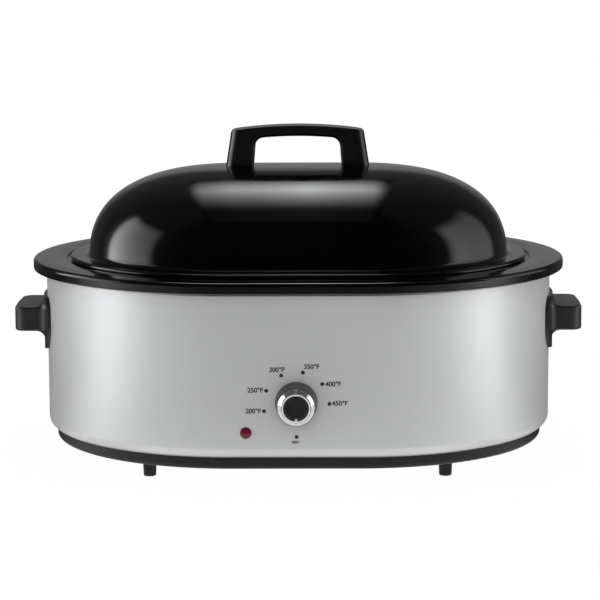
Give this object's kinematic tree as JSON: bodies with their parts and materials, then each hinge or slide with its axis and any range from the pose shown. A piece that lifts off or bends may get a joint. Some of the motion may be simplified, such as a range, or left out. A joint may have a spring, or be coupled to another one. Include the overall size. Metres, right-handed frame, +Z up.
{
  "type": "electric roaster oven",
  "caption": "Oval countertop roaster oven: brushed silver body with dial and pilot lamp, lift-out black enamel cookwell with wide rim, wire rack, domed lid and moulded handles.",
  "frame": {"origin": "centre of the oval body at the height of the surface that the feet stand on", "axes": "+Z up, +X along the oval's long way towards the right-hand side as seen by the user, front with the dial faces -Y"},
  "size_m": [0.5618, 0.4298, 0.3272],
  "materials": {
    "brushed_shell": "fine horizontal brushing under a clear silver coat",
    "liner_metal": "plain rolled aluminised steel",
    "black_enamel": "glossy black porcelain enamel",
    "black_moulding": "satin black moulded plastic",
    "black_gloss_moulding": "semi-gloss black phenolic moulding",
    "rubber_foot": "matt",
    "zinc_hardware": "bright zinc plating",
    "chromed_wire": "bright",
    "heater_sleeve": "woven glass sleeving",
    "ceramic_block": "unglazed",
    "fibre_insulation": "soft glass-fibre felt",
    "brass_parts": "satin",
    "control_moulding": "dark brown phenolic",
    "shaft_steel": "turned",
    "knob_chrome": "bright chrome over plastic",
    "knob_black": "satin",
    "white_mark": "inlaid",
    "red_lens": "clear red moulded jewel",
    "bulb_glass": "clear",
    "gland_rubber": "satin",
    "lead_black": "high-temperature insulation",
    "lead_white": "high-temperature insulation",
    "lead_red": "high-temperature insulation"
  },
  "bodies": {
    "root": {"outer_shell": "brushed_shell", "heating_well": "liner_metal", "base_pan": "black_moulding", "foot_front_left": "rubber_foot", "foot_front_right": "rubber_foot", "foot_rear_left": "rubber_foot", "foot_rear_right": "rubber_foot", "foot_screws": "zinc_hardware", "base_screws": "zinc_hardware", "base_nuts": "zinc_hardware", "handle_screws": "zinc_hardware", "side_handle_left": "black_gloss_moulding", "side_handle_right": "black_gloss_moulding", "heating_element": "heater_sleeve", "element_clips": "liner_metal", "element_terminals": "ceramic_block", "insulation_wrap": "fibre_insulation", "bottom_insulation": "fibre_insulation", "thermostat_bracket": "zinc_hardware", "bimetal_strip": "brass_parts", "thermostat_body": "control_moulding", "thermostat_plate": "zinc_hardware", "thermostat_bushing": "brass_parts", "thermostat_nut": "zinc_hardware", "thermostat_contacts": "brass_parts", "pilot_lens": "red_lens", "pilot_holder": "control_moulding", "pilot_clip": "zinc_hardware", "pilot_lamp": "bulb_glass", "terminal_block": "control_moulding", "terminal_screws": "brass_parts", "cord_gland": "gland_rubber", "lead_live": "lead_black", "lead_neutral": "lead_white", "lead_switched": "lead_red", "lamp_leads": "lead_white"},
    "knob": {"knob_skirt": "black_gloss_moulding", "knob_bezel": "knob_chrome", "knob_core": "knob_black", "knob_pointer": "white_mark", "thermostat_shaft": "shaft_steel"},
    "cookwell": {"cookwell": "black_enamel"},
    "rack": {"rack_grid": "chromed_wire", "rack_handles": "chromed_wire"},
    "lid": {"lid_dome": "black_enamel", "lid_handle": "black_gloss_moulding", "lid_washers": "zinc_hardware", "lid_screws": "zinc_hardware"}
  },
  "joints": [
    {"name": "knob_turn", "type": "hinge", "parent": "root", "child": "knob", "pos_m": [0, -0.188, 0.0846], "axis": [0, 1, 0], "range_deg": [0, 268]},
    {"name": "cookwell_lift", "type": "slide", "parent": "root", "child": "cookwell", "axis": [0, 0, 1], "range_m": [0, 0.2]},
    {"name": "lid_lift", "type": "slide", "parent": "cookwell", "child": "lid", "axis": [0, 0, 1], "range_m": [0, 0.35]},
    {"name": "rack_lift", "type": "slide", "parent": "cookwell", "child": "rack", "axis": [0, 0, 1], "range_m": [0, 0.2]}
  ],
  "couplings": [
    {"joint": "rack_lift", "follows": "lid_lift", "ratio": 0.55}
  ]
}
